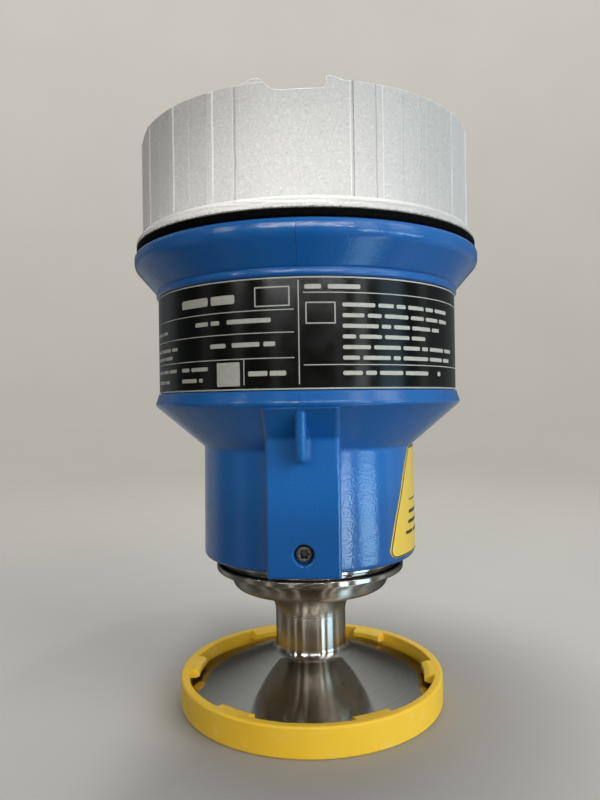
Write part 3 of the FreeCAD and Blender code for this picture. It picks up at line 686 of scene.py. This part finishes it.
# ------------------------------------------------------------------ screw thread of the housing neck
def thread(name, root, crest, z0, z1, pitch, body, finish, start=0.0, steps=96):
    verts, faces = [], []
    total = int((z1 - z0) / pitch * steps)
    for i in range(total + 1):
        a = 2 * math.pi * i / steps + start
        z = z0 + pitch * i / steps
        fade = min(1.0, i / (steps * 0.25), (total - i) / (steps * 0.25))
        top = root + (crest - root) * fade
        for r, dz in ((root - 0.08, -0.42 * pitch), (top, -0.10 * pitch), (top, 0.10 * pitch), (root - 0.08, 0.42 * pitch)):
            verts.append((r * math.sin(a), -r * math.cos(a), z + dz))
    for i in range(total):
        p, q = 4 * i, 4 * (i + 1)
        for j in range(4):
            faces.append((p + j, q + j, q + (j + 1) % 4, p + (j + 1) % 4))
    faces.append((3, 2, 1, 0))
    e = 4 * total
    faces.append((e, e + 1, e + 2, e + 3))
    return piece(name, verts, faces, body, finish)


thread("neck_thread", 39.5, 39.76, 118.0, 125.6, 2.0, "housing", "foil")

# ------------------------------------------------------------------ snap domes under the keys
DOME_RINGS = ((1.3, 1.1), (2.4, 0.5), (2.9, 0.2), (2.9, 0.0), (2.4, 0.3), (1.3, 0.9))
DOME_TOP, DOME_HOLLOW, DOME_SIDES = 1.3, 1.1, 40
for key in ("zero_key", "span_key"):
    lo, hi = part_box(key + "_dome")
    cx, cy, foot = (lo.x + hi.x) / 2.0 / MM, (lo.y + hi.y) / 2.0 / MM, lo.z / MM
    verts, faces = [(cx, cy, foot + DOME_TOP)], []
    for r, h in DOME_RINGS:
        for k in range(DOME_SIDES):
            a = 2.0 * math.pi * k / DOME_SIDES
            verts.append((cx + r * math.cos(a), cy + r * math.sin(a), foot + h))
    verts.append((cx, cy, foot + DOME_HOLLOW))
    last = len(verts) - 1
    for k in range(DOME_SIDES):
        m = (k + 1) % DOME_SIDES
        faces.append((0, 1 + k, 1 + m))
        for i in range(len(DOME_RINGS) - 1):
            upper, lower = 1 + i * DOME_SIDES, 1 + (i + 1) * DOME_SIDES
            faces.append((upper + k, lower + k, lower + m, upper + m))
        rim = 1 + (len(DOME_RINGS) - 1) * DOME_SIDES
        faces.append((rim + k, last, rim + m))
    dome = piece(key + "_snap", verts, faces, body_of(NODES[key + "_dome"])[0], "foil", smooth=True)
    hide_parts(key + "_dome")
    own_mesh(dome)

# ------------------------------------------------------------------ camera
F_PX, DIST, EYE = 664.5, 0.180, 0.0786
CAM_AZ, ROLL = math.radians(2.4), math.radians(0.85)
yaw, pitch = math.atan(7.5 / F_PX), math.atan(1.5 / F_PX)
up = Vector((0, 0, 1))
at_axis = Vector((-math.sin(CAM_AZ), math.cos(CAM_AZ), 0))
side = Vector((math.cos(CAM_AZ), math.sin(CAM_AZ), 0))
look = at_axis * math.cos(yaw) - side * math.sin(yaw)
look = (look * math.cos(pitch) + up * math.sin(pitch)).normalized()
right = look.cross(up).normalized()
top = right.cross(look)
r2 = right * math.cos(ROLL) - top * math.sin(ROLL)
u2 = right * math.sin(ROLL) + top * math.cos(ROLL)
cam_data = bpy.data.cameras.new("camera")
cam_data.sensor_width = 36.0
cam_data.lens = 36.0 * F_PX / 800.0
cam_data.clip_start, cam_data.clip_end = 0.005, 50.0
cam = bpy.data.objects.new("camera", cam_data)
scene.collection.objects.link(cam)
m = Matrix((r2, u2, -look)).transposed().to_4x4()
m.translation = -at_axis * DIST + up * EYE
cam.matrix_world = m
scene.camera = cam

# ------------------------------------------------------------------ floor that sweeps up all round
floor_net = Net("floor", IOR=1.45, Specular_IOR_Level=0.2)
fx = floor_net.parts()
reach = floor_net.math("SQRT", floor_net.math("ADD", floor_net.math("MULTIPLY", fx[0], fx[0]),
                                              floor_net.math("MULTIPLY", fx[1], fx[1])))
far = floor_net.span(reach, 0.12, 0.60)
# painted shadow: the floor is darker within about 10 cm of the axis, as a contact shadow; painted light lifts it
# again on the left side (x below -2 cm), where the object's shadow falls
painted_shadow_fade = floor_net.span(reach, 0.035, 0.10)
painted_shadow_fade = floor_net.math("MAXIMUM", painted_shadow_fade, floor_net.span(fx[0], -0.02, -0.05, 0.0, 0.85))
tone = floor_net.mix(floor_net.noise(9.0, 4.0), floor_net.mix(painted_shadow_fade, lin(156, 153, 147), lin(198, 195, 188)),
                     floor_net.mix(painted_shadow_fade, lin(162, 159, 153), lin(204, 201, 194)))
floor_net.to("Base Color", floor_net.mix(far, tone, lin(0, 0, 0)))
floor_net.to("Roughness", floor_net.span(floor_net.noise(60.0, 3.0), 0.3, 0.7, 0.7, 0.85))
# painted light: beyond 12 cm the floor and the backdrop glow instead of being lit, brighter higher up the wall
rise = floor_net.span(fx[2], 0.0, 0.7, 0.0, 1.0, smooth=False)
backdrop_painted_glow = floor_net.mix(rise, lin(179, 175, 167), lin(202, 198, 190))
backdrop_painted_glow = floor_net.mix(floor_net.span(floor_net.noise(7.0, 3.0), 0.35, 0.65, 0.0, 0.5), backdrop_painted_glow,
                     floor_net.mix(rise, lin(175, 171, 163), lin(198, 194, 186)))
floor_net.to("Emission Color", backdrop_painted_glow)
floor_net.to("Emission Strength", far)
FLOOR_R, BEND, WALL = 0.55, 0.45, 1.6


def lathe_mesh(name, profile, n=128):
    verts, faces = [], []
    for r, z in profile:
        if r == 0:
            verts.append((0.0, 0.0, z))
        else:
            verts += [(r * math.cos(2 * math.pi * i / n), r * math.sin(2 * math.pi * i / n), z) for i in range(n)]
    if profile[0][0] == 0:
        faces += [(0, 1 + i, 1 + (i + 1) % n) for i in range(n)]
        first = 1
        rings = len(profile) - 1
    else:
        first, rings = 0, len(profile)
    for k in range(rings - 1):
        a, b = first + k * n, first + (k + 1) * n
        faces += [(a + i, b + i, b + (i + 1) % n, a + (i + 1) % n) for i in range(n)]
    me = bpy.data.meshes.new(name)
    me.from_pydata(verts, [], faces)
    me.polygons.foreach_set("use_smooth", [True] * len(me.polygons))
    me.materials.append(floor_net.mat)
    o = bpy.data.objects.new(name, me)
    scene.collection.objects.link(o)
    return o


ground = lathe_mesh("floor", [(0, 0.0), (0.1, 0.0), (0.3, 0.0), (FLOOR_R, 0.0)])
sweep = lathe_mesh("backdrop", [(FLOOR_R + BEND * math.sin(t), BEND * (1 - math.cos(t)))
                                for t in [math.pi / 2 * i / 24 for i in range(25)]] + [(FLOOR_R + BEND, BEND + WALL)])
ground.visible_glossy = False
sweep.visible_glossy = False
ground.visible_diffuse = False
sweep.visible_diffuse = False
sweep.visible_shadow = False

# ------------------------------------------------------------------ light: a soft studio all round, strip lights in front
world = bpy.data.worlds.new("studio")
scene.world = world
world.use_nodes = True
wt = world.node_tree
wt.nodes.clear()


def wn(kind, **props):
    n = wt.nodes.new(kind)
    for k, v in props.items():
        setattr(n, k, v)
    return n


def wmath(op, a, b=0.0):
    n = wn("ShaderNodeMath", operation=op)
    for i, v in enumerate((a, b)):
        if isinstance(v, bpy.types.NodeSocket):
            wt.links.new(v, n.inputs[i])
        else:
            n.inputs[i].default_value = v
    return n.outputs[0]


def wramp(fac, stops):
    n = wn("ShaderNodeValToRGB")
    wt.links.new(fac, n.inputs[0])
    el = n.color_ramp.elements
    while len(el) > 1:
        el.remove(el[-1])
    el[0].position, el[0].color = stops[0][0], stops[0][1]
    for pos, col in stops[1:]:
        e = el.new(pos)
        e.color = col
    return n.outputs[0]


def grey(v):
    return (v, v, v, 1.0)


axes = wn("ShaderNodeSeparateXYZ")
wt.links.new(wn("ShaderNodeTexCoord").outputs["Generated"], axes.inputs[0])
azimuth = wmath("ARCTAN2", axes.outputs[0], wmath("MULTIPLY", axes.outputs[1], -1.0))
az01 = wmath("ADD", wmath("DIVIDE", azimuth, 2 * math.pi), 0.5)
el01 = wmath("ADD", wmath("DIVIDE", wmath("ARCSINE", axes.outputs[2]), math.pi), 0.5)


def bands(rows, soft=1.2):
    """rows: (centre, half width, level) in degrees from the front, as ramp stops."""
    stops = [(0.0, grey(0.0))]
    for c, h, v in rows:
        for d, val in ((-h - soft, 0.0), (-h, v), (h, v), (h + soft, 0.0)):
            stops.append(((c + d) / 360.0 + 0.5, grey(val)))
    return stops


def heights(rows):
    return [(e / 180.0 + 0.5, grey(v)) for e, v in rows]


BASE_LEVEL, LAMP_LEVEL, TUBE_LEVEL, TRAIL_LEVEL, STRIP_LEVEL, WINDOW_LEVEL = 0.8, 10.0, 66.0, 1.0, 5.0, 5.6


def room(rows):
    """rows: (azimuth, level); warm in front, a little cool behind."""
    out = []
    for az, v in rows:
        k = max(0.0, math.cos(math.radians(az)))
        out.append((az / 360.0 + 0.5, (v * (0.9 + 0.1 * k), v * (0.97 - 0.20 * k), v * (1.0 - 0.48 * k), 1.0)))
    return out


base = wramp(az01, room(((-180, 0.34), (-125, 0.30), (-98, 0.10), (-72, 0.11), (-30, 0.075), (0, 0.05), (15, 0.055),
                         (30, 0.10), (53, 0.26), (82, 0.18), (98, 0.42), (125, 0.30), (180, 0.34))))
base_el = wramp(el01, heights(((-90, 0.6), (-55, 0.65), (-40, 0.9), (-20, 0.9), (-13, 1.3), (-3, 1.3), (1, 0.6), (12, 0.6), (20, 0.9), (45, 1.6), (90, 3.2))))
lamps = wramp(az01, bands(((-66, 0.6, 0.35), (-50, 0.8, 0.8), (-19, 0.9, 1.0), (10, 0.8, 0.8), (29, 0.9, 1.0)), 0.5))
tubes = wramp(az01, bands(((-47, 3.5, 0.5), (-23, 3.2, 1.0), (-13.5, 3.2, 1.0), (-3.5, 3.2, 1.0), (6.5, 2.4, 0.8), (16.5, 3.0, 1.0), (26.5, 3.5, 1.0)), 1.0))
tubes_el = wramp(el01, heights(((13.9, 0.0), (14.3, 1.0), (15.1, 1.0), (15.5, 0.0))))
lamps_el = wramp(el01, heights(((17, 0.0), (19, 1.0), (29, 1.0), (32, 0.0))))
trails = wramp(az01, bands(((-121, 9.0, 0.08), (-75, 5.5, 0.16), (-48, 2.2, 0.34), (-20, 2.2, 0.34), (25.5, 1.8, 0.42), (98, 3.5, 0.25)), 1.2))
trails_el = wramp(el01, heights(((-80, 0.0), (-60, 1.0), (16, 1.0), (20, 0.0))))
strip = wramp(az01, bands(((42.3, 4.0, 1.0),), 1.4))
window = wramp(az01, bands(((67.0, 8.0, 1.0),), 3.5))
streaks = wramp(az01, bands(((39.5, 1.8, 1.0), (65.0, 4.5, 0.75)), 1.3))
streaks_el = wramp(el01, [(e / 180.0 + 0.5, (v, 0.97 * v, 0.9 * v, 1.0)) for e, v in ((-60, 0.0), (-45, 0.85), (-20, 0.85), (-17, 0.0))])
SKY, DAY, PALE = (0.5, 0.82, 1.06), (0.68, 0.92, 1.08), (0.94, 0.97, 1.0)


def tinted(rows):
    return [(e / 180.0 + 0.5, tuple(c * v for c in tint) + (1.0,)) for e, v, tint in rows]


strip_el = wramp(el01, tinted(((-15.5, 0.0, DAY), (-13.5, 2.1, DAY), (-7, 2.1, DAY), (-2, 0.3, PALE), (12, 0.3, PALE), (18, 0.6, PALE), (25, 0.6, PALE), (50, 0.2, PALE), (70, 0.0, PALE))))
window_el = wramp(el01, tinted(((-82, 0.0, SKY), (-74, 0.46, SKY), (-50, 0.46, SKY), (-40, 0.0, SKY), (-15.5, 0.0, SKY), (-13.5, 1.4, SKY),
                                (-7, 1.4, SKY), (-2, 0.16, SKY), (12, 0.16, SKY), (18, 0.5, PALE), (25, 0.5, PALE), (50, 0.15, PALE), (70, 0.0, PALE))))


def wmul(a, b, k):
    n = wn("ShaderNodeMix", data_type="RGBA", blend_type="MULTIPLY")
    n.inputs["Factor"].default_value = 1.0
    wt.links.new(a, n.inputs[6])
    wt.links.new(b, n.inputs[7])
    s = wn("ShaderNodeVectorMath", operation="SCALE")
    wt.links.new(n.outputs[2], s.inputs[0])
    s.inputs["Scale"].default_value = k
    return s.outputs[0]


def wadd(a, b):
    n = wn("ShaderNodeVectorMath", operation="ADD")
    wt.links.new(a, n.inputs[0])
    wt.links.new(b, n.inputs[1])
    return n.outputs[0]


total = wadd(wadd(wmul(base, base_el, BASE_LEVEL), wmul(lamps, lamps_el, LAMP_LEVEL)),
             wadd(wadd(wadd(wmul(trails, trails_el, TRAIL_LEVEL), wmul(tubes, tubes_el, TUBE_LEVEL)),
                       wmul(streaks, streaks_el, 1.0)),
                  wadd(wmul(strip, strip_el, STRIP_LEVEL), wmul(window, window_el, WINDOW_LEVEL))))
bg = wn("ShaderNodeBackground")
wt.links.new(total, bg.inputs["Color"])
wt.links.new(bg.outputs[0], wn("ShaderNodeOutputWorld").inputs["Surface"])


cover_only = bpy.data.collections.new("cover_only")
cover_only.objects.link(NODES["cover"])


def area(name, az, el, dist, size, power, colour, aim=0.075, spread=180.0):
    data = bpy.data.lights.new(name, "AREA")
    data.shape = "DISK"
    data.size = size
    data.energy = power
    data.color = colour
    data.spread = math.radians(spread)
    o = bpy.data.objects.new(name, data)
    scene.collection.objects.link(o)
    a, e = math.radians(az), math.radians(el)
    d = Vector((math.sin(a) * math.cos(e), -math.cos(a) * math.cos(e), math.sin(e)))
    o.location = Vector((0.0, 0.0, aim)) + d * dist
    o.rotation_mode = "QUATERNION"
    o.rotation_quaternion = d.to_track_quat("Z", "Y")
    o.visible_camera = False
    o.visible_glossy = False
    if name.startswith("lid_"):
        o.light_linking.receiver_collection = cover_only
    return o


WARM, EVEN, COOL = (1.0, 0.965, 0.90), (1.0, 0.99, 0.965), (0.92, 0.97, 1.0)
POWER = dict(left=0.3, right=4.1, lid_side=2.5, lid_right=0.7, lid_front=0.0064, top=0.75, back=3.0)
for name, az, el, dist, size, colour, aim, spread in (
        ("left", -62, 16, 0.9, 0.8, WARM, 0.075, 180),
        ("right", 50, 20, 0.9, 0.8, COOL, 0.075, 180),
        ("lid_side", -85, 8, 0.9, 0.5, WARM, 0.132, 180), ("lid_right", 88, 10, 0.9, 0.5, COOL, 0.132, 180),
        ("lid_front", -4, 20, 0.5, 0.05, EVEN, 0.102, 6),
        ("top", 0, 78, 1.0, 0.9, EVEN, 0.075, 180), ("back", 180, 40, 0.9, 0.8, EVEN, 0.075, 180)):
    area(name, az, el, dist, size, POWER[name], colour, aim, spread)

scene.view_settings.view_transform = "Standard"
